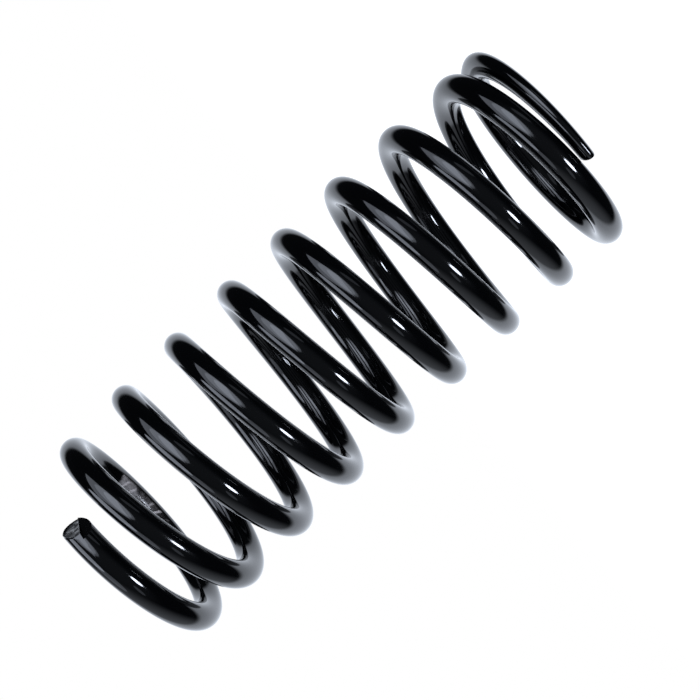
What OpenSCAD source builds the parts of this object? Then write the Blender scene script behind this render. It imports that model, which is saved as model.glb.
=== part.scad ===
// Suspension coil spring: one round steel bar, tapered at one end, cut to length,
// wound hot into a right-hand coil and coated. The closed end stands on the ground
// plane. The other end is left open and shows the sheared end of the bar.

/* [Bar] */
// Diameter of the round bar
wire_d = 14; // [10:0.5:18]
// Width of the bevel dressed round the sheared end
shear_bevel = 1; // [0.2:0.1:3]
// Slant of the sheared end face, in degrees from square to the bar
shear_slant = 46; // [5:1:50]
// Side that the sheared face looks to, in degrees from outwards towards up the coil
shear_side = -17; // [-90:1:90]

/* [Coil] */
// Mean diameter of the coil, from bar centre to bar centre
coil_d = 103.4; // [80:0.2:140]
// Rise of each working turn
pitch = 36.4; // [30:0.1:44]
// Turns from tip to tip
turns = 9.125; // [5:0.005:11]
// How far the middle of the axis stands out from the line between its ends
bow = 3.4; // [0:0.1:8]
// Direction of the closed tip, seen from above, in degrees from the side the bow stands out to
tip_angle = -109.6; // [-180:0.2:180]

/* [Closed end] */
// Turns that lie flat on the seat, along which the bar is tapered
seat_turns = 0.35; // [0.2:0.01:0.5]
// Turns over which the rise then grows to the full pitch
closing_turns = 0.99; // [0.9:0.01:1.3]
// Clearance between the tapered tip and the turn above it
tip_gap = 0.8; // [0.4:0.1:2]
// Shape of the taper: 1 is an even wedge, less is one that thins early
taper_power = 0.63; // [0.4:0.01:1.5]

/* [Open end] */
// Share of the pitch that is left where the bar ends
open_share = 0.19; // [0.1:0.01:1]
// Turns over which the pitch falls away to that share
opening_turns = 0.98; // [0.5:0.01:1.5]

/* [Hidden] */

// Sections along the plain bar, sections that lean over to the sheared end, and corners of each
section_count = 330;
shear_sections = 4;
corner_count = 16;
// Share of the bar's radius that the bevel takes at most
bevel_limit = 0.5;

wire_r = wire_d / 2;
coil_r = coil_d / 2;
turn_length = PI * coil_d;
bevel = min(shear_bevel, bevel_limit * wire_r);
shear_lean = tan(shear_slant);
open_start = turns - opening_turns;
closed_top = seat_turns + closing_turns;

// A smooth ramp from 0 to 1 and the area under it, both for u from 0 to 1
function ramp(u) = 3 * pow(u, 2) - 2 * pow(u, 3);
function ramp_area(u) = pow(u, 3) - pow(u, 4) / 2;
function clamp01(u) = max(0, min(1, u));

// Height gained along the run that closes the coil, s turns from the closed tip
function closing_rise(s) =
    pitch * closing_turns * ramp_area(clamp01((s - seat_turns) / closing_turns));

// Height gained past the start of the open end
function opening_rise(s) =
    let (
        past = max(0, s - open_start),
        left = clamp01(1 - past / opening_turns)
    )
    pitch * (open_share * past + (1 - open_share) * opening_turns * (1 / 2 - ramp_area(left)));

// Height gained by the bar's centre line above the part that lies flat
function rise(s) =
    closing_rise(s) + pitch * max(0, min(s, open_start) - closed_top) + opening_rise(s);

// Rise per turn of the centre line
function slope(s) =
    pitch * ramp(clamp01((s - seat_turns) / closing_turns))
    * (open_share + (1 - open_share) * ramp(clamp01((turns - s) / opening_turns)));

// The tapered tip just fits under the turn above it
tip_thickness = min(wire_d, rise(1) - tip_gap);

// Half the bar's thickness along the axis: less than its radius only along the taper
function half_thickness(s) =
    let (along = clamp01((seat_turns - s) / seat_turns))
    wire_r - (wire_r - tip_thickness / 2) * pow(along, taper_power);

function radial(s) = let (a = tip_angle + 360 * s) [cos(a), sin(a), 0];
function sideways(s) = let (a = tip_angle + 360 * s) [-sin(a), cos(a), 0];

// Centre line of a straight coil, with the underside of its flat part at height 0
function centre(s) = coil_r * radial(s) + [0, 0, half_thickness(s) + rise(s)];

// Unit vector across the bar, up the coil
function lead(s) = atan2(slope(s), turn_length);
function across_bar(s) = [0, 0, cos(lead(s))] - sin(lead(s)) * sideways(s);

// One section of the bar, whose corners lie on the bar's surface. Shrink is what the bevel takes
// off its radius, and lean is how far the side that the sheared face looks to lags behind, for
// each unit of radius
function section(s, shrink = 0, lean = 0) = [
    for (i = [0:corner_count - 1])
        let (
            a = 360 * i / corner_count,
            out = (wire_r - shrink) * cos(a),
            up = (half_thickness(s) - shrink) * sin(a),
            lag = (wire_r - shrink) * cos(a - shear_side) * lean,
            own_s = s - lag / (2 * PI * (coil_r + out))
        )
        centre(own_s) + out * radial(own_s) + up * across_bar(own_s)
];

// All sections in order, from the closed tip to the open end
rim_turns = turns - bevel / turn_length;
lean_turns = wire_r * shear_lean / turn_length;
plain_turns = rim_turns - lean_turns;
sections = [
    for (i = [0:section_count - 1])
        section(plain_turns * i / (section_count - 1)),
    for (i = [1:shear_sections])
        let (share = i / shear_sections)
        section(plain_turns + lean_turns * share, 0, shear_lean * share),
    section(turns, bevel, shear_lean)
];

// The whole coil leans round an arc, so that its axis bows by the stated amount
free_height = rise(turns) + wire_d;
bow_r = bow > 0 ? pow(free_height, 2) / (8 * bow) + bow / 2 : 0;

function bowed(p) =
    bow > 0
        ? let (a = p.z / bow_r * 180 / PI)
          [(bow_r + p.x) * cos(a) - bow_r, p.y, (bow_r + p.x) * sin(a)]
        : p;

bar_points = [for (ring = sections) for (p = ring) bowed(p)];

// Foot of the coil's bounding box, which becomes the origin
function middle(v) = (min(v) + max(v)) / 2;
foot = [
    middle([for (p = bar_points) p.x]),
    middle([for (p = bar_points) p.y]),
    min([for (p = bar_points) p.z])
];

// Faces of a closed tube through rows of corners, with one face at each end
function tube_faces(rows, n) = concat(
    [[for (i = [n - 1:-1:0]) i]],
    [
        for (r = [0:rows - 2], i = [0:n - 1])
            let (
                j = (i + 1) % n,
                low = r * n,
                high = (r + 1) * n
            )
            [low + i, low + j, high + j, high + i]
    ],
    [[for (i = [0:n - 1]) (rows - 1) * n + i]]
);

module coil_spring() {
    color("#15161a")
        translate(-foot)
            polyhedron(
                points = bar_points,
                faces = tube_faces(len(sections), corner_count)
            );
}

coil_spring();
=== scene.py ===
"""The looks of a suspension coil spring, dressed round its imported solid.

One straight round bar is modelled and tapered at its closed end. It is wound along the same
path as the solid, and then parted at its open end. A gloss black coating, a plain studio and
a camera at the photograph's angle complete the scene.
"""

import bisect
import logging
import math
from dataclasses import dataclass, field
from enum import Enum
from typing import Any, Callable, Iterable, Optional, Sequence, Union

import bmesh
import bpy
from mathutils import Matrix, Vector


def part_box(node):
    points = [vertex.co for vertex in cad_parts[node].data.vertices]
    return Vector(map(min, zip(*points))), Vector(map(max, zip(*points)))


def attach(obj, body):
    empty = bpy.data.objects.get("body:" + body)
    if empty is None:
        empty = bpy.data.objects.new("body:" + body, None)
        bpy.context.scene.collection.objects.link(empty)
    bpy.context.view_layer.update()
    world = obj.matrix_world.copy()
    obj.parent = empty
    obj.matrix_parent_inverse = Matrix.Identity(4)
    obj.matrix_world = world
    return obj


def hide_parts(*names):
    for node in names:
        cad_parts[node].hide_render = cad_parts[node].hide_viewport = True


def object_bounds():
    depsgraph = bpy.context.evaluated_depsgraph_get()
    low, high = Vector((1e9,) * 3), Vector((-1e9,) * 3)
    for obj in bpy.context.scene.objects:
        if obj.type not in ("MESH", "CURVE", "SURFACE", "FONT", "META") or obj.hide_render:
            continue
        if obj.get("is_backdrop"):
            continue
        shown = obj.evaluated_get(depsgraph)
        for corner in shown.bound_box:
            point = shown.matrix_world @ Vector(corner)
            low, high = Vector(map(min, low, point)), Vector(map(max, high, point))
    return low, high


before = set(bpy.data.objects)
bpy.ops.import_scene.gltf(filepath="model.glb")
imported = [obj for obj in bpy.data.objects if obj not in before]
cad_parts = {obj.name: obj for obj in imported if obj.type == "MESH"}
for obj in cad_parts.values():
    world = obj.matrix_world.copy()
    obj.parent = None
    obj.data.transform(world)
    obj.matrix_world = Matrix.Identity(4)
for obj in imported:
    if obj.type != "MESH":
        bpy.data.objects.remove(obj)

LOG = logging.getLogger("coil_spring")

MM = 0.001
TURN = 2 * math.pi
NODE = "coil_spring"
BODY = "root"
SLOT = "gloss_black_coating"

# How near two places count as the same, and how near a cut takes a corner as lying on it
CLOSE = 0.001 * MM
CUT_SLACK = CLOSE / 10

# The mesh attributes that the coating reads: the place on the straight bar, and the sheared land
PLACE = "bar_place"
SHEARED = "sheared"

Number = Union[float, "Value"]
Colour = tuple[float, float, float]
Range = tuple[float, float]

WHITE: Colour = (1.0, 1.0, 1.0)


def ramp_area(u: float) -> float:
    """Return the area under the smooth ramp 3 u^2 - 2 u^3 up to u, for u from 0 to 1."""
    return u**3 - u**4 / 2


def clamp01(u: float) -> float:
    """Return u kept between 0 and 1."""
    return max(0.0, min(1.0, u))


@dataclass(frozen=True)
class CoilForm:
    """The coil's sizes, in metres, and the law that its bar follows.

    The sizes and the law are those of the solid. A place along the bar is given in turns
    from the closed tip.
    """

    bar_d: float = 14 * MM
    coil_d: float = 103.4 * MM
    pitch: float = 36.4 * MM
    turns: float = 9.125
    bow: float = 3.4 * MM
    tip_angle: float = math.radians(-109.6)
    seat_turns: float = 0.35
    closing_turns: float = 0.99
    tip_gap: float = 0.8 * MM
    taper_power: float = 0.63
    open_share: float = 0.19
    opening_turns: float = 0.98
    shear_slant: float = math.radians(46)
    shear_side: float = math.radians(-17)

    @property
    def bar_r(self) -> float:
        """Radius of the bar."""
        return self.bar_d / 2

    @property
    def open_start(self) -> float:
        """Turns at which the pitch starts to fall away."""
        return self.turns - self.opening_turns

    @property
    def free_height(self) -> float:
        """Height of the straight coil, over the bar."""
        return self.rise(self.turns) + self.bar_d

    @property
    def bow_r(self) -> float:
        """Radius of the arc that the coil's axis leans round."""
        return self.free_height**2 / (8 * self.bow) + self.bow / 2

    def rise(self, s: float) -> float:
        """Return the height that the centre line gains above its flat part.

        Args:
            s: Turns from the closed tip.

        Returns:
            The height, in metres.
        """
        closed_top = self.seat_turns + self.closing_turns
        along = clamp01((s - self.seat_turns) / self.closing_turns)
        closing = self.pitch * self.closing_turns * ramp_area(along)
        working = self.pitch * max(0.0, min(s, self.open_start) - closed_top)
        past = max(0.0, s - self.open_start)
        left = clamp01(1 - past / self.opening_turns)
        easing = self.opening_turns * (0.5 - ramp_area(left))
        opening = self.pitch * (self.open_share * past + (1 - self.open_share) * easing)
        return closing + working + opening

    def half_thickness(self, s: float) -> float:
        """Return half the bar's thickness along the axis, which is less along the taper.

        Args:
            s: Turns from the closed tip.

        Returns:
            Half the thickness, in metres.
        """
        tip = min(self.bar_d, self.rise(1.0) - self.tip_gap) / 2
        along = clamp01((self.seat_turns - s) / self.seat_turns)
        return self.bar_r - (self.bar_r - tip) * along**self.taper_power

    def bowed(self, point: Vector) -> Vector:
        """Lean a point of the straight coil round the bow's arc.

        Args:
            point: The point of the straight coil.

        Returns:
            The same point of the bowed coil.
        """
        angle = point.z / self.bow_r
        reach = self.bow_r + point.x
        return Vector((reach * math.cos(angle) - self.bow_r, point.y, reach * math.sin(angle)))

    def centre(self, s: float) -> Vector:
        """Return the middle of the bar's section.

        Args:
            s: Turns from the closed tip.

        Returns:
            The middle, on the bowed coil.
        """
        angle = self.tip_angle + TURN * s
        height = self.half_thickness(s) + self.rise(s)
        coil_r = self.coil_d / 2
        return self.bowed(Vector((coil_r * math.cos(angle), coil_r * math.sin(angle), height)))


class CentreLine:
    """The bar's centre line as close points, with the length of bar up to each."""

    def __init__(
        self, form: CoilForm, spare_turns: float = 0.04, points_per_turn: int = 240
    ) -> None:
        """Walk the centre line once, from the closed tip to just past the open end.

        Args:
            form: The coil's sizes and law.
            spare_turns: Turns past the open end, which are sheared off.
            points_per_turn: How many points stand for one turn.
        """
        steps = round((form.turns + spare_turns) * points_per_turn)
        self.places: list[float] = [i / points_per_turn for i in range(steps + 1)]
        self.points: list[Vector] = [form.centre(s) for s in self.places]
        self.lengths: list[float] = [0.0]
        for near, far in zip(self.points, self.points[1:]):
            self.lengths.append(self.lengths[-1] + (far - near).length)

    @property
    def length(self) -> float:
        """Length of the whole bar, with the spare end that is sheared off."""
        return self.lengths[-1]

    def _between(self, known: Sequence[float], wanted: Sequence[float], at: float) -> float:
        """Read one row of measures where another row has a given value.

        Args:
            known: The row that rises through the given value.
            wanted: The row to read, with a value for each of the known ones.
            at: The given value.

        Returns:
            The value read, between its neighbours.
        """
        i = min(max(bisect.bisect_left(known, at), 1), len(known) - 1)
        share = clamp01((at - known[i - 1]) / (known[i] - known[i - 1]))
        return wanted[i - 1] + share * (wanted[i] - wanted[i - 1])

    def turns_at(self, length: float) -> float:
        """Return the turns from the closed tip at a length along the bar."""
        return self._between(self.lengths, self.places, length)

    def length_at(self, turns: float) -> float:
        """Return the length along the bar at a number of turns from the closed tip."""
        return self._between(self.places, self.lengths, turns)


class Value:
    """A number in a material, so that shader maths reads as plain expressions."""

    def __init__(self, board: "NodeBoard", socket: bpy.types.NodeSocket) -> None:
        """Wrap one output socket of the board."""
        self.board = board
        self.socket = socket

    def _maths(self, operation: str, *values: Number) -> "Value":
        """Return the result of one Math node."""
        settings = {"operation": operation}
        return self.board.value("ShaderNodeMath", settings, dict(enumerate(values)))

    def __add__(self, other: Number) -> "Value":
        """Return self + other."""
        return self._maths("ADD", self, other)

    __radd__ = __add__

    def __sub__(self, other: Number) -> "Value":
        """Return self - other."""
        return self._maths("SUBTRACT", self, other)

    def __rsub__(self, other: Number) -> "Value":
        """Return other - self."""
        return self._maths("SUBTRACT", other, self)

    def __mul__(self, other: Number) -> "Value":
        """Return self * other."""
        return self._maths("MULTIPLY", self, other)

    __rmul__ = __mul__

    def sine(self) -> "Value":
        """Return the sine of a phase in radians."""
        return self._maths("SINE", self)

    def toward(self, other: Number) -> "Value":
        """Return the angle of the direction that has self as its height and other as its run."""
        return self._maths("ARCTAN2", self, other)

    def size(self) -> "Value":
        """Return the value without its sign."""
        return self._maths("ABSOLUTE", self)

    def above(self, low: float, high: float) -> "Value":
        """Return a smooth step from 0 to 1.

        Args:
            low: The value up to which the step is 0.
            high: The value from which the step is 1.

        Returns:
            The step.
        """
        inputs = {"Value": self, 1: low, 2: high}
        settings = {"interpolation_type": "SMOOTHSTEP"}
        return self.board.value("ShaderNodeMapRange", settings, inputs, "Result")


class NodeBoard:
    """The node tree of one material or world, and the one way that nodes are added to it."""

    def __init__(self, tree: bpy.types.NodeTree) -> None:
        """Take a node tree and empty it."""
        self.tree = tree
        tree.nodes.clear()

    def node(self, kind: str, settings: dict[str, Any], inputs: dict[Any, Any]) -> bpy.types.Node:
        """Add one node.

        Args:
            kind: The node's type name.
            settings: The node's own properties, which are set first.
            inputs: A value, a Value or an output socket for each input, by name or number.

        Returns:
            The new node.
        """
        new = self.tree.nodes.new(kind)
        for name, setting in settings.items():
            setattr(new, name, setting)
        for key, given in inputs.items():
            source = given.socket if isinstance(given, Value) else given
            if isinstance(source, bpy.types.NodeSocket):
                self.tree.links.new(source, new.inputs[key])
            else:
                new.inputs[key].default_value = source
        return new

    def value(
        self,
        kind: str,
        settings: dict[str, Any],
        inputs: dict[Any, Any],
        output: Union[str, int] = 0,
    ) -> Value:
        """Add one node and return one of its outputs as a Value."""
        return Value(self, self.node(kind, settings, inputs).outputs[output])

    def parts(self, vector: bpy.types.NodeSocket) -> tuple[Value, Value, Value]:
        """Return the three parts of a vector."""
        outputs = self.node("ShaderNodeSeparateXYZ", {}, {"Vector": vector}).outputs
        return Value(self, outputs["X"]), Value(self, outputs["Y"]), Value(self, outputs["Z"])

    def noise(self, place: Any, scale: float, detail: float = 1.0) -> Value:
        """Return a smooth noise from 0 to 1 with about scale humps to the metre."""
        inputs = {"Vector": place, "Scale": scale, "Detail": detail}
        return self.value("ShaderNodeTexNoise", {}, inputs)

    def blend(self, share: Number, first: Colour, second: Colour) -> Value:
        """Return the colour that goes from first to second as share goes from 0 to 1."""
        inputs = {0: share, 6: (*first, 1), 7: (*second, 1)}
        return self.value("ShaderNodeMix", {"data_type": "RGBA"}, inputs, 2)


@dataclass(frozen=True)
class WornPrint:
    """A worn pale patch with a few slanted strokes, on the bar's side that faces into the coil.

    It runs between two places on the bar, told in turns, and half_angle to both sides of the
    innermost line. Its strokes wander by the wear, and each range says from which to which
    noise something goes from bare to covered.
    """

    start_turns: float = 8.446
    end_turns: float = 8.585
    edge: float = 3.0 * MM
    half_angle: float = math.radians(62)
    side_edge: float = 0.25
    colour: Colour = (0.34, 0.325, 0.335)
    patch: float = 0.5
    patch_wear: Range = (0.25, 0.5)
    stroke_pitch: float = 6.5 * MM
    stroke_slant: float = 0.7
    stroke_drift: float = 2.6
    stroke_width: Range = (0.45, 0.95)
    stroke_wear: Range = (0.40, 0.6)
    wear_scale: float = 130.0
    wear_detail: float = 3.0
    grain_scale: float = 520.0
    grain_detail: float = 2.0
    grain: Range = (-0.2, 0.55)

    def cover(self, board: NodeBoard, place: bpy.types.NodeSocket, line: CentreLine) -> Value:
        """Return how much of the surface the print covers, from 0 to 1.

        Args:
            board: The node tree to build in.
            place: The place on the straight bar.
            line: The bar's centre line.

        Returns:
            The cover at each point.
        """
        along, inward, up = board.parts(place)
        start = line.length_at(self.start_turns)
        end = line.length_at(self.end_turns)
        left = end - along
        inside = along.above(start, start + self.edge) * left.above(0.0, self.edge)
        facing = (self.half_angle - up.toward(inward).size()).above(0.0, self.side_edge)
        wear = board.noise(place, self.wear_scale, self.wear_detail)
        grain = board.noise(place, self.grain_scale, self.grain_detail).above(*self.grain)
        way = (along + up * self.stroke_slant) * (TURN / self.stroke_pitch)
        phase = way + wear * self.stroke_drift
        stroke = phase.sine().above(*self.stroke_width) * wear.above(*self.stroke_wear)
        patch = left.above(0.0, end - start) * wear.above(*self.patch_wear) * self.patch
        return inside * facing * grain * (patch + stroke * (1 - patch))


@dataclass(frozen=True)
class GlossBlackCoating:
    """Gloss black paint over the whole bar, with faint drawn lines, haze and orange peel.

    The sheared land is dull and rough. Each scale is in humps to the metre.
    """

    base: Colour = (0.0003, 0.0004, 0.0006)
    roughness: float = 0.07
    ior: float = 1.5
    peel_scale: float = 260.0
    peel_height: float = 0.0016 * MM
    line_scale: float = 700.0
    line_stretch: float = 0.04
    line_height: float = 0.0008 * MM
    haze_scale: float = 45.0
    haze_detail: float = 3.0
    haze_range: Range = (0.45, 0.75)
    haze: float = 0.05
    land_roughness: float = 0.12
    dull_scale: float = 210.0
    dull_detail: float = 2.0
    dull_range: Range = (0.4, 0.62)
    dull: float = 0.4
    land_scale: float = 260.0
    land_detail: float = 2.0
    land_height: float = 0.45 * MM
    print_roughness: float = 0.9
    worn_print: WornPrint = WornPrint()

    def build(self, line: CentreLine) -> bpy.types.Material:
        """Return the coating as a material.

        Args:
            line: The bar's centre line.

        Returns:
            The material.
        """
        material = bpy.data.materials.new(SLOT)
        material.use_nodes = True
        board = NodeBoard(material.node_tree)
        place = board.node("ShaderNodeAttribute", {"attribute_name": PLACE}, {}).outputs["Vector"]
        on_land = board.value("ShaderNodeAttribute", {"attribute_name": SHEARED}, {}, "Fac")
        printed = self.worn_print.cover(board, place, line)
        shader = board.node(
            "ShaderNodeBsdfPrincipled",
            {},
            {
                "Base Color": board.blend(printed, self.base, self.worn_print.colour),
                "Roughness": self._roughness(board, place, on_land, printed),
                "IOR": self.ior,
                "Normal": self._relief(board, place, on_land),
            },
        )
        board.node("ShaderNodeOutputMaterial", {}, {"Surface": shader.outputs["BSDF"]})
        return material

    def _roughness(
        self, board: NodeBoard, place: bpy.types.NodeSocket, on_land: Value, printed: Value
    ) -> Value:
        """Return the roughness: the paint's with its haze, the land's and the print's.

        Args:
            board: The node tree to build in.
            place: The place on the straight bar.
            on_land: 1 on the sheared land and 0 elsewhere.
            printed: How much the print covers.

        Returns:
            The roughness at each point.
        """
        haze = board.noise(place, self.haze_scale, self.haze_detail).above(*self.haze_range)
        dull = board.noise(place, self.dull_scale, self.dull_detail).above(*self.dull_range)
        land = dull * self.dull + self.land_roughness
        paint = self.roughness + haze * self.haze
        return paint + on_land * land + printed * self.print_roughness

    def _relief(
        self, board: NodeBoard, place: bpy.types.NodeSocket, on_land: Value
    ) -> bpy.types.NodeSocket:
        """Return the normal: orange peel, drawn lines along the bar, and the rough land.

        Args:
            board: The node tree to build in.
            place: The place on the straight bar.
            on_land: 1 on the sheared land and 0 elsewhere.

        Returns:
            The socket of the bumped normal.
        """
        along, inward, up = board.parts(place)
        stretched = {"X": along * self.line_stretch, "Y": inward, "Z": up}
        drawn = board.value("ShaderNodeCombineXYZ", {}, stretched)
        height = (
            board.noise(place, self.peel_scale) * self.peel_height
            + board.noise(drawn, self.line_scale) * self.line_height
            + board.noise(place, self.land_scale, self.land_detail) * on_land * self.land_height
        )
        bump = board.node("ShaderNodeBump", {}, {"Height": height, "Strength": 1, "Distance": 1})
        return bump.outputs["Normal"]


def start_clean() -> None:
    """Leave edit mode and deselect everything, so that the next operator has only its piece."""
    if bpy.context.object and bpy.context.object.mode != "OBJECT":
        bpy.ops.object.mode_set(mode="OBJECT")
    bpy.ops.object.select_all(action="DESELECT")


def pick(piece: bpy.types.Object, mode: str, wanted: Callable[[Any], bool]) -> None:
    """Select the vertices, edges or faces of a piece that answer to a test, in edit mode.

    Args:
        piece: The piece, which is in edit mode.
        mode: VERT, EDGE or FACE.
        wanted: The test, which takes one bmesh element.
    """
    bpy.ops.mesh.select_mode(type=mode)
    bpy.ops.mesh.select_all(action="DESELECT")
    mesh = bmesh.from_edit_mesh(piece.data)
    kinds = {"VERT": mesh.verts, "EDGE": mesh.edges, "FACE": mesh.faces}
    for element in kinds[mode]:
        if wanted(element):
            element.select_set(True)
    mesh.select_flush_mode()
    bmesh.update_edit_mesh(piece.data)


@dataclass(frozen=True)
class Plane:
    """One plane of the sheared end, in the land's axes."""

    place: Vector
    normal: Vector

    def over(self, place: Vector) -> float:
        """Return how far a place stands over the plane."""
        return (place - self.place).dot(self.normal)


@dataclass(frozen=True)
class ShearedEnd:
    """Where the wound bar's open end is parted: a slanted land, and a break beside it.

    The blade cut the land, and the rest broke off along a plane that is turned from it. Places
    are told in the land's own axes, from the middle of the bar: x runs down the coil along the
    land, y runs along it into the coil, and z stands out of it. What lies within the reach and
    short of the flank is the end, and look_ahead is in turns.
    """

    axes: Matrix
    back: Matrix
    flank: float
    flank_share: float = 1.3
    look_ahead: float = 0.001
    reach: float = 22 * MM
    land_shift: float = -2.2 * MM
    lip_height: float = 0.3 * MM
    break_at: float = 1.7 * MM
    break_turn: float = math.radians(8)
    break_drop: float = 1.05 * MM

    @classmethod
    def of(cls, form: CoilForm) -> "ShearedEnd":
        """Place the sheared end on a coil.

        Args:
            form: The coil's sizes and law.

        Returns:
            The sheared end, at the last turn's end.
        """
        place = form.centre(form.turns)
        ahead = (form.centre(form.turns + cls.look_ahead) - place).normalized()
        higher = form.bowed(Vector((0, 0, place.z + MM)))
        axis = (higher - form.bowed(Vector((0, 0, place.z)))).normalized()
        outward = ahead.cross(axis).normalized()
        up = outward.cross(ahead)
        side = math.cos(form.shear_side) * outward + math.sin(form.shear_side) * up
        normal = math.cos(form.shear_slant) * ahead + math.sin(form.shear_slant) * side
        down = (normal * up.dot(normal) - up).normalized()
        axes = Matrix((down, normal.cross(down), normal)).transposed().to_4x4()
        axes.translation = place
        return cls(axes, axes.inverted(), cls.flank_share * form.bar_r)

    @property
    def land(self) -> Plane:
        """The plane that the blade cut."""
        return Plane(Vector(), Vector((0, 0, 1)))

    @property
    def broken(self) -> Plane:
        """The plane that the rest broke off along."""
        normal = Vector((0, -math.sin(self.break_turn), math.cos(self.break_turn)))
        return Plane(Vector((0, 0, -self.break_drop)), normal)

    @property
    def wall(self) -> Plane:
        """The plane between the land and the break, with the break over it."""
        return Plane(Vector((self.break_at, 0, 0)), Vector((1, 0, 0)))

    @property
    def meeting(self) -> Plane:
        """The plane across the wall, where the land and the break have the same height."""
        away = self.break_drop / math.tan(self.break_turn)
        return Plane(Vector((self.break_at, away, 0)), Vector((0, 1, 0)))

    def holds(self, place: Vector) -> bool:
        """Tell whether a place is at the open end of the bar."""
        return place.length < self.reach and place.x < self.flank

    def over_land(self, place: Vector) -> bool:
        """Tell whether a place lies on the land's side of the wall, on the land or over it."""
        return self.wall.over(place) < CLOSE and self.land.over(place) > -CLOSE

    def over_break(self, place: Vector) -> bool:
        """Tell whether a place lies on the break's side of the wall, on the break or over it."""
        return self.wall.over(place) > -CLOSE and self.broken.over(place) > -CLOSE

    def on_land(self, place: Vector) -> bool:
        """Tell whether a place lies on the land or its rim."""
        return abs(self.land.over(place)) < CLOSE and self.wall.over(place) < CLOSE

    def on_break(self, place: Vector) -> bool:
        """Tell whether a place lies on the break or its rim."""
        return abs(self.broken.over(place)) < CLOSE and self.wall.over(place) > -CLOSE

    def on_near_half(self, place: Vector) -> bool:
        """Tell whether a place lies on the half of the land that faces out of the coil."""
        return self.on_land(place) and place.y < 0 and self.wall.over(place) < -CLOSE

    def inside_lip(self, place: Vector) -> bool:
        """Tell whether a place lies on the land inside its lip, once that stands."""
        sunk = self.land.over(place) + self.lip_height
        return abs(sunk) < CLOSE and self.wall.over(place) < 0


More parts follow.
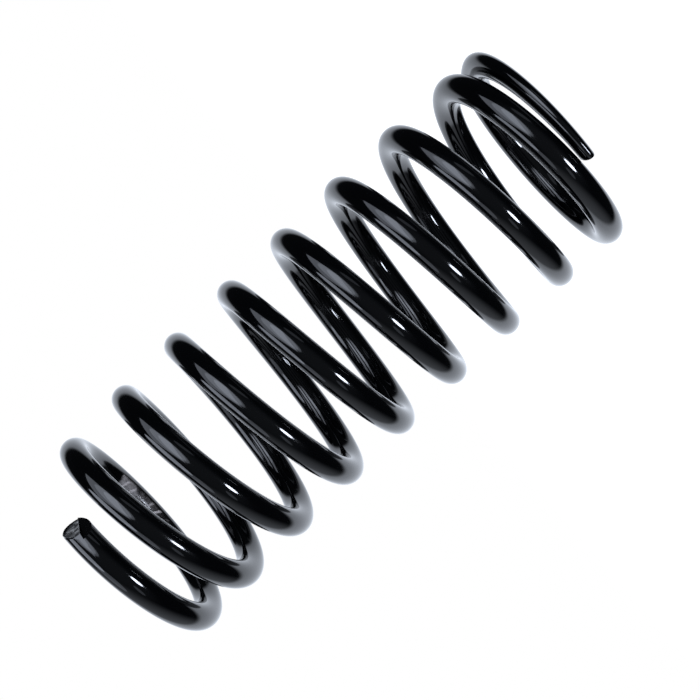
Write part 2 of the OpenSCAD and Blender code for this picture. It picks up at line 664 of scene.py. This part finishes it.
@dataclass
class OpenEnd:
    """The open end of the wound bar, which is parted, closed, and dressed on its land.

    The burr rises by burr_step past each of burr_starts, which are told up the coil along the
    land, from the middle of the bar. Each ring inside the lip keeps its share of the last one.
    """

    piece: bpy.types.Object
    parted: ShearedEnd
    bar_length: float
    meeting_slack: float = 10 * CLOSE
    rim_bevel: float = 0.45 * MM
    rim_segments: int = 3
    rim_profile: float = 0.6
    least_edge: float = 0.02 * MM
    lip_share: float = 0.93
    burr_step: float = 0.17 * MM
    burr_starts: tuple[float, ...] = (2.5 * MM, 4.0 * MM, 5.5 * MM)
    ring_shares: tuple[float, ...] = (0.85, 0.8, 0.75, 0.7, 0.6)
    unevenness: float = 0.09 * MM
    unevenness_seed: int = 4

    def build(self) -> None:
        """Part the end along the land and the break, close both, and dress the land."""
        bpy.ops.object.mode_set(mode="EDIT")
        self._part()
        self._close_wall()
        self._round_near_rim()
        self._raise_lip()
        self._roughen_land()
        bpy.ops.mesh.select_all(action="SELECT")
        bpy.ops.mesh.normals_make_consistent(inside=False)
        bpy.ops.object.mode_set(mode="OBJECT")

    def _pick(self, mode: str, wanted: Callable[[Vector], bool]) -> None:
        """Select what is at the open end and whose every corner answers to a test.

        Args:
            mode: VERT, EDGE or FACE.
            wanted: The test, which takes a place in the land's axes.
        """

        def answers(element: Any) -> bool:
            """Tell whether every corner of an element is at the end and passes the test.

            Args:
                element: One vertex, edge or face.

            Returns:
                Whether it is wanted.
            """
            corners = [element] if mode == "VERT" else element.verts
            places = [self.parted.back @ corner.co for corner in corners]
            return all(self.parted.holds(place) and wanted(place) for place in places)

        pick(self.piece, mode, answers)

    def _split(self, plane: Plane) -> None:
        """Cut the selected faces along a plane and keep both sides.

        Args:
            plane: The plane, in the land's axes.
        """
        middle = self.parted.axes @ plane.place
        normal = self.parted.axes.to_3x3() @ plane.normal
        bpy.ops.mesh.bisect(plane_co=middle, plane_no=normal, threshold=CUT_SLACK)

    def _lift(self, height: float) -> None:
        """Move what is selected out of the land."""
        bpy.ops.transform.translate(value=self.parted.axes.to_3x3() @ Vector((0, 0, height)))

    def _add_ring(self, share: float, height: float) -> None:
        """Draw the land's selected face in and leave a ring round it.

        Args:
            share: The share of its size that the face keeps.
            height: The face's height over the land.
        """
        bpy.ops.mesh.extrude_region_move()
        middle = self.parted.axes @ Vector((self.parted.land_shift, 0, height))
        bpy.ops.transform.resize(value=(share,) * 3, center_override=middle)

    def _part(self) -> None:
        """Cut the end along its planes, delete what lies over them, and cap both faces."""
        for plane in (self.parted.wall, self.parted.land, self.parted.broken):
            self._pick("FACE", self.parted.holds)
            self._split(plane)
        for over_face in (self.parted.over_land, self.parted.over_break):
            self._pick("FACE", over_face)
            bpy.ops.mesh.delete(type="FACE")
        for on_face in (self.parted.on_land, self.parted.on_break):
            self._pick("VERT", on_face)
            bpy.ops.mesh.edge_face_add()

    def _close_wall(self) -> None:
        """Close the wall between the land and the break, which cross part of the way along it."""
        meeting = self.parted.meeting
        for on_face in (self.parted.on_land, self.parted.on_break):
            self._pick("FACE", on_face)
            self._split(meeting)
        self._pick("VERT", lambda place: (place - meeting.place).length < self.meeting_slack)
        bpy.ops.mesh.remove_doubles(threshold=self.meeting_slack)
        bpy.ops.mesh.select_all(action="SELECT")
        bpy.ops.mesh.fill_holes(sides=0)
        for on_face in (self.parted.on_land, self.parted.on_break):
            self._pick("FACE", on_face)
            bpy.ops.mesh.dissolve_faces()

    def _round_near_rim(self) -> None:
        """Round the rim where the blade went in, and merge the corners that this crowds."""
        self._pick("EDGE", self.parted.on_near_half)
        bpy.ops.mesh.bevel(
            offset=self.rim_bevel, segments=self.rim_segments, profile=self.rim_profile
        )
        self._pick("VERT", self.parted.holds)
        bpy.ops.mesh.remove_doubles(threshold=self.least_edge)

    def _raise_lip(self) -> None:
        """Sink the land inside a lip, and raise the lip in steps to a burr at its upper end."""
        self._pick("FACE", self.parted.on_land)
        self._add_ring(self.lip_share, 0.0)
        self._lift(-self.parted.lip_height)
        land = self.parted.land
        for start in self.burr_starts:
            self._pick("VERT", lambda place: land.over(place) > -CLOSE and place.x < -start)
            self._lift(self.burr_step)

    def _roughen_land(self) -> None:
        """Draw rings inside the lip, mark them for the coating, and make them uneven."""
        self._pick("FACE", self.parted.inside_lip)
        for share in self.ring_shares:
            self._add_ring(share, -self.parted.lip_height)
        bpy.ops.mesh.poke()
        bpy.ops.object.mode_set(mode="OBJECT")
        self._mark_land()
        bpy.ops.object.mode_set(mode="EDIT")
        self._pick("VERT", self.parted.inside_lip)
        bpy.ops.transform.vertex_random(
            offset=self.unevenness, uniform=0, normal=1, seed=self.unevenness_seed
        )

    def _mark_land(self) -> None:
        """Mark each corner inside the lip, and give it a place of its own past the bar's end."""
        mesh = self.piece.data
        marks = mesh.attributes.new(SHEARED, "FLOAT", "POINT")
        past_bar = Vector((self.bar_length, 0, 0))
        for vertex, mark, kept in zip(mesh.vertices, marks.data, mesh.attributes[PLACE].data):
            place = self.parted.back @ vertex.co
            if self.parted.holds(place) and self.parted.inside_lip(place):
                mark.value = 1.0
                kept.vector = place + past_bar


@dataclass
class SpringBar:
    """The bar of the spring: modelled straight along X, wound into the coil, then parted.

    Its section has the given number of sides. About so many rings are cut over its length,
    those of the plain stretch in two rounds, of which the first makes first_cuts.
    """

    form: CoilForm
    line: CentreLine
    sides: int = 48
    rings: int = 1200
    first_cuts: int = 99
    edge_slack: float = 0.01 * MM
    ring_slack: float = 0.1 * MM
    tip_bevel: float = 0.5 * MM
    tip_segments: int = 2
    smooth_angle: float = math.radians(35)
    piece: Optional[bpy.types.Object] = field(default=None, init=False)

    def build(self) -> bpy.types.Object:
        """Model the bar, wind it and dress both ends.

        Returns:
            The finished piece.
        """
        self._add_blank()
        self._cut_taper()
        self._cut_rings()
        self._dress_closed_tip()
        self._keep_places()
        self._wind()
        OpenEnd(self.piece, ShearedEnd.of(self.form), self.line.length).build()
        bpy.ops.object.shade_smooth_by_angle(angle=self.smooth_angle)
        self._seat()
        return self.piece

    def _add_blank(self) -> None:
        """Add the straight round blank, which lies along X from the closed tip."""
        start_clean()
        bpy.ops.mesh.primitive_cylinder_add(
            vertices=self.sides,
            radius=self.form.bar_r,
            depth=self.line.length,
            location=(self.line.length / 2, 0, 0),
            rotation=(0, TURN / 4, 0),
        )
        self.piece = bpy.context.object
        self.piece.name = "wound_bar"
        bpy.ops.object.transform_apply(location=True, rotation=True, scale=True)

    def _long_edges(self, low: float, high: float) -> Callable[[Any], bool]:
        """Return a test for edges that run along the bar inside a stretch.

        Args:
            low: The length along the bar where the stretch starts.
            high: The length where it ends.

        Returns:
            The test, which takes one edge.
        """
        slack = self.edge_slack

        def runs_along(edge: bmesh.types.BMEdge) -> bool:
            """Tell whether an edge runs along the bar inside the stretch."""
            near, far = sorted(vertex.co.x for vertex in edge.verts)
            return far - near > slack and near > low - slack and far < high + slack

        return runs_along

    def _cut_taper(self) -> None:
        """Cut the stretch that lies on the seat into rings and thin each by the taper."""
        taper = self.line.length_at(self.form.seat_turns)
        cuts = round(self.rings * taper / self.line.length) - 1
        bpy.ops.object.mode_set(mode="EDIT")
        bpy.ops.mesh.select_all(action="SELECT")
        bpy.ops.mesh.bisect(plane_co=(taper, 0, 0), plane_no=(1, 0, 0))
        pick(self.piece, "EDGE", self._long_edges(0, taper))
        bpy.ops.mesh.subdivide(number_cuts=cuts)
        for i in range(cuts + 1):
            at = taper * i / (cuts + 1)
            share = self.form.half_thickness(self.line.turns_at(at)) / self.form.bar_r
            pick(self.piece, "VERT", lambda vertex: abs(vertex.co.x - at) < self.ring_slack)
            bpy.ops.transform.resize(value=(1, 1, share), center_override=(at, 0, 0))
        bpy.ops.object.mode_set(mode="OBJECT")

    def _cut_rings(self) -> None:
        """Cut the plain stretch of the bar into rings."""
        taper = self.line.length_at(self.form.seat_turns)
        plain_edges = self._long_edges(taper, self.line.length)
        share = 1 - taper / self.line.length
        second_cuts = round(self.rings * share / (self.first_cuts + 1)) - 1
        bpy.ops.object.mode_set(mode="EDIT")
        for cuts in (self.first_cuts, second_cuts):
            pick(self.piece, "EDGE", plain_edges)
            bpy.ops.mesh.subdivide(number_cuts=cuts)
        bpy.ops.object.mode_set(mode="OBJECT")

    def _dress_closed_tip(self) -> None:
        """Take the sharpness off the closed tip's rim."""
        bpy.ops.object.mode_set(mode="EDIT")
        pick(self.piece, "EDGE", lambda edge: all(abs(end.co.x) < CLOSE for end in edge.verts))
        bpy.ops.mesh.bevel(offset=self.tip_bevel, segments=self.tip_segments)
        bpy.ops.object.mode_set(mode="OBJECT")

    def _keep_places(self) -> None:
        """Keep each vertex's place on the straight bar, which the coating reads."""
        mesh = self.piece.data
        kept = mesh.attributes.new(PLACE, "FLOAT_VECTOR", "POINT")
        for vertex, place in zip(mesh.vertices, kept.data):
            place.vector = vertex.co

    def _path(self) -> bpy.types.Object:
        """Draw the coil's centre line as a curve.

        Returns:
            The curve's object.
        """
        curve = bpy.data.curves.new("bar_path", "CURVE")
        curve.dimensions = "3D"
        curve.twist_mode = "Z_UP"
        spline = curve.splines.new("POLY")
        spline.points.add(len(self.line.points) - 1)
        for knot, point in zip(spline.points, self.line.points):
            knot.co = (*point, 1)
        path = bpy.data.objects.new("bar_path", curve)
        bpy.context.scene.collection.objects.link(path)
        return path

    def _wind(self) -> None:
        """Wind the straight bar along the coil's centre line."""
        path = self._path()
        winding = self.piece.modifiers.new("winding", "CURVE")
        winding.object = path
        winding.deform_axis = "POS_X"
        bpy.ops.object.modifier_apply(modifier=winding.name)
        curve = path.data
        bpy.data.objects.remove(path)
        bpy.data.curves.remove(curve)

    def _seat(self) -> None:
        """Move the coil to the solid's place: centred in its box, on its lowest height."""
        low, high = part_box(NODE)
        corners = [vertex.co for vertex in self.piece.data.vertices]
        own_low = Vector(min(corner[i] for corner in corners) for i in range(3))
        own_high = Vector(max(corner[i] for corner in corners) for i in range(3))
        shift = (low + high - own_low - own_high) / 2
        shift.z = low.z - own_low.z
        self.piece.data.transform(Matrix.Translation(shift))
        LOG.info("%s: seated by %s mm", self.piece.name, [round(part / MM, 2) for part in shift])


class LampFace(Enum):
    """The outlines that a lamp's face can have."""

    PANEL = "RECTANGLE"
    OVAL = "ELLIPSE"


@dataclass(frozen=True)
class Lamp:
    """One area light of the studio, placed as the photographer sees it.

    Its direction from the object is in degrees to the camera's right and upwards, so that
    0, 0 is the camera's own direction. Its face looks at the object, and spin turns it on itself.
    Its radiance is how bright the face looks in the paint's mirror, whatever its size.
    """

    name: str
    face: LampFace
    right: float
    up: float
    distance: float
    width: float
    height: float
    radiance: float
    spin: float = 0.0
    tint: Colour = (0.92, 1.0, 1.17)

    def add(self, middle: Vector, camera_turn: Matrix) -> None:
        """Add the light.

        Args:
            middle: The middle of the object, which the light faces.
            camera_turn: The camera's own turn.
        """
        light = bpy.data.lights.new(self.name, "AREA")
        light.shape = self.face.value
        light.size = self.width
        light.size_y = self.height
        light.color = self.tint
        face_share = math.pi / 4 if self.face is LampFace.OVAL else 1.0
        light.energy = self.radiance * self.width * self.height * face_share * math.pi
        sideways = Matrix.Rotation(math.radians(self.right), 4, "Y")
        upwards = Matrix.Rotation(math.radians(-self.up), 4, "X")
        spun = Matrix.Rotation(math.radians(self.spin), 4, "Z")
        away = Matrix.Translation((0, 0, self.distance)) @ spun
        lamp = bpy.data.objects.new(self.name, light)
        lamp.matrix_world = Matrix.Translation(middle) @ camera_turn @ sideways @ upwards @ away
        lamp.visible_camera = False
        bpy.context.scene.collection.objects.link(lamp)


@dataclass(frozen=True)
class Region:
    """One part of the surroundings, round a direction, with a soft edge."""

    toward: tuple[float, float, float]
    edge: Range

    def share(self, direction: Iterable[Value]) -> Value:
        """Return how far a direction lies inside the region, from 0 to 1."""
        x, y, z = (part * weight for part, weight in zip(direction, self.toward))
        return (x + y + z).above(*self.edge)


@dataclass(frozen=True)
class Surroundings:
    """What the paint mirrors beyond the lamps: paper behind the coil, a bench and a dark room."""

    room: float = 0.014
    front: float = 0.09
    paper: float = 1.15
    paper_slope: float = 0.45
    paper_tint: Colour = (0.93, 1.0, 1.12)
    bench: float = 0.6
    behind: Region = Region((-0.15, 1.0, 0.06), (0.5, 0.66))
    before: Region = Region((0.0, -1.0, 0.0), (0.3, 0.95))
    below: Region = Region((-0.75, 0.25, 0.66), (0.45, 1.1))

    def build(self) -> None:
        """Light the world. The camera itself sees plain white."""
        world = bpy.data.worlds.new("studio")
        world.use_nodes = True
        bpy.context.scene.world = world
        board = NodeBoard(world.node_tree)
        direction = board.parts(board.node("ShaderNodeTexCoord", {}, {}).outputs["Generated"])
        behind = self.behind.share(direction)
        paper = self.paper - direction[0] * self.paper_slope
        glow = (
            self.room
            + self.before.share(direction) * self.front
            + self.below.share(direction) * (1 - behind) * self.bench
            + behind * paper
        )
        seen = board.value("ShaderNodeLightPath", {}, {}, "Is Camera Ray")
        tint = board.blend(seen, self.paper_tint, WHITE)
        strength = seen + (1 - seen) * glow
        sky = board.node("ShaderNodeBackground", {}, {"Color": tint, "Strength": strength})
        board.node("ShaderNodeOutputWorld", {}, {"Surface": sky.outputs["Background"]})


@dataclass
class Studio:
    """The plain pale floor, the surroundings, the lights and the camera."""

    floor_half: float = 6.0
    floor_glow: float = 1.0
    floor_albedo: float = 0.25
    surroundings: Surroundings = Surroundings()
    lamps: tuple[Lamp, ...] = (
        Lamp("softbox", LampFace.PANEL, -51.0, 13.5, 1.5, 1.40, 1.40, 1.7),
        Lamp("softbox_bulge", LampFace.OVAL, -36.5, 15.5, 1.5, 1.46, 1.34, 1.3),
        Lamp("softbox_core", LampFace.OVAL, -31.5, 15.5, 1.5, 0.92, 1.06, 1.5),
        Lamp("side_lamp", LampFace.OVAL, -75.0, -28.0, 1.2, 0.93, 0.54, 3.2, -41.0),
        Lamp("side_glow", LampFace.OVAL, -64.0, -50.0, 1.2, 0.69, 0.51, 0.9),
        Lamp("small_lamp", LampFace.OVAL, 41.5, 1.5, 0.93, 0.235, 0.235, 40.0),
        Lamp("far_window", LampFace.OVAL, 17.0, 56.0, 1.5, 0.64, 0.37, 0.38),
        Lamp("far_lamp", LampFace.OVAL, 23.0, -31.0, 1.5, 0.32, 0.48, 0.55),
    )
    camera_place: tuple[float, float, float] = (-5.774 * MM, -661.350 * MM, 133.166 * MM)
    camera_target: tuple[float, float, float] = (-6.283 * MM, 0.0, 145.224 * MM)
    camera_roll: float = math.radians(-131.206)
    camera_lens: float = 68.02

    def build(self, middle: Vector) -> None:
        """Build the whole studio.

        Args:
            middle: The middle of the object, which every lamp faces.
        """
        self._add_floor()
        self.surroundings.build()
        turn = self._add_camera()
        for lamp in self.lamps:
            lamp.add(middle, turn)
            LOG.info("%s: a light at %.2f m", lamp.name, lamp.distance)
        bpy.context.scene.view_settings.view_transform = "Standard"

    def _add_floor(self) -> None:
        """Add the pale floor that the spring stands on."""
        start_clean()
        bpy.ops.mesh.primitive_plane_add(size=2 * self.floor_half)
        floor = bpy.context.object
        floor.name = "floor"
        material = bpy.data.materials.new("pale_floor")
        material.use_nodes = True
        board = NodeBoard(material.node_tree)
        grey = (self.floor_albedo,) * 3
        shader = board.node(
            "ShaderNodeBsdfPrincipled",
            {},
            {
                "Base Color": (*grey, 1),
                "Roughness": 1.0,
                "Specular IOR Level": 0.0,
                "Emission Color": (*WHITE, 1),
                "Emission Strength": self.floor_glow,
            },
        )
        board.node("ShaderNodeOutputMaterial", {}, {"Surface": shader.outputs["BSDF"]})
        floor.data.materials.append(material)
        floor.visible_glossy = False
        floor.visible_shadow = False
        floor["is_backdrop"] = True
        LOG.info("%s: %.0f m square", floor.name, 2 * self.floor_half)

    def _add_camera(self) -> Matrix:
        """Add the camera at the photograph's place.

        It is rolled so that the spring lies in the frame as it does in the photograph.

        Returns:
            The camera's turn.
        """
        lens = bpy.data.cameras.new("camera")
        lens.lens = self.camera_lens
        camera = bpy.data.objects.new("camera", lens)
        place = Vector(self.camera_place)
        level = (Vector(self.camera_target) - place).to_track_quat("-Z", "Y")
        turn = level.to_matrix().to_4x4() @ Matrix.Rotation(self.camera_roll, 4, "Z")
        camera.matrix_world = Matrix.Translation(place) @ turn
        bpy.context.scene.collection.objects.link(camera)
        bpy.context.scene.camera = camera
        return turn


def plain(corners: Iterable[Vector]) -> list[list[float]]:
    """Return corners as plain lists of numbers."""
    return [[float(value) for value in corner] for corner in corners]


def main() -> None:
    """Build the spring, its finish and the studio."""
    logging.basicConfig(level=logging.INFO, format="%(name)s: %(message)s")
    cad_box = plain(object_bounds())
    form = CoilForm()
    line = CentreLine(form)
    bar = SpringBar(form, line).build()
    bar.data.materials.clear()
    bar.data.materials.append(GlossBlackCoating().build(line))
    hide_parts(NODE)
    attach(bar, BODY)
    LOG.info("%s: %d faces, bar %.1f mm long", bar.name, len(bar.data.polygons), line.length / MM)
    low, high = (Vector(corner) for corner in cad_box)
    Studio().build((low + high) / 2)


if __name__ == "__main__":
    main()
